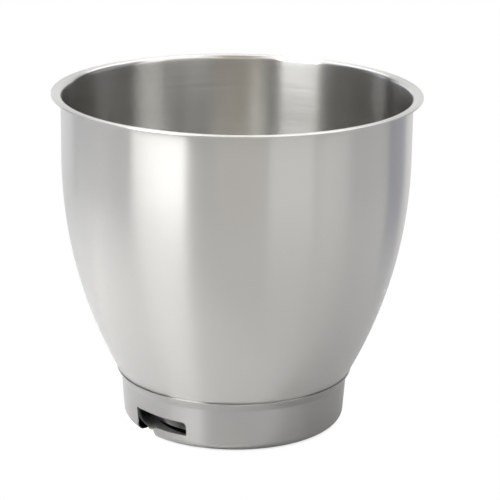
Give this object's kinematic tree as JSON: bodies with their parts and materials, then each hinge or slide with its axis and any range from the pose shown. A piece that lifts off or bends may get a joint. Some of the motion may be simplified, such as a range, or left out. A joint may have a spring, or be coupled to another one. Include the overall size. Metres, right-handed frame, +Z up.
{
  "type": "stand mixer bowl",
  "caption": "Deep round steel mixing bowl with a turned-out rim, sides drawn in to a flat floor, on a welded foot ring with L-shaped bayonet slots.",
  "frame": {"origin": "on the bowl's axis, in the plane that the foot ring stands on", "axes": "+Z up along the bowl's axis, out of its mouth; -Y through the middle of one bayonet slot"},
  "size_m": [0.248, 0.2478, 0.2275],
  "materials": {
    "bowl_steel": "satin stainless steel, finely brushed round the axis",
    "ring_steel": "satin stainless steel, pressed and finely brushed round the axis"
  },
  "bodies": {
    "root": {"bowl": "bowl_steel", "foot_ring": "ring_steel"}
  },
  "joints": []
}
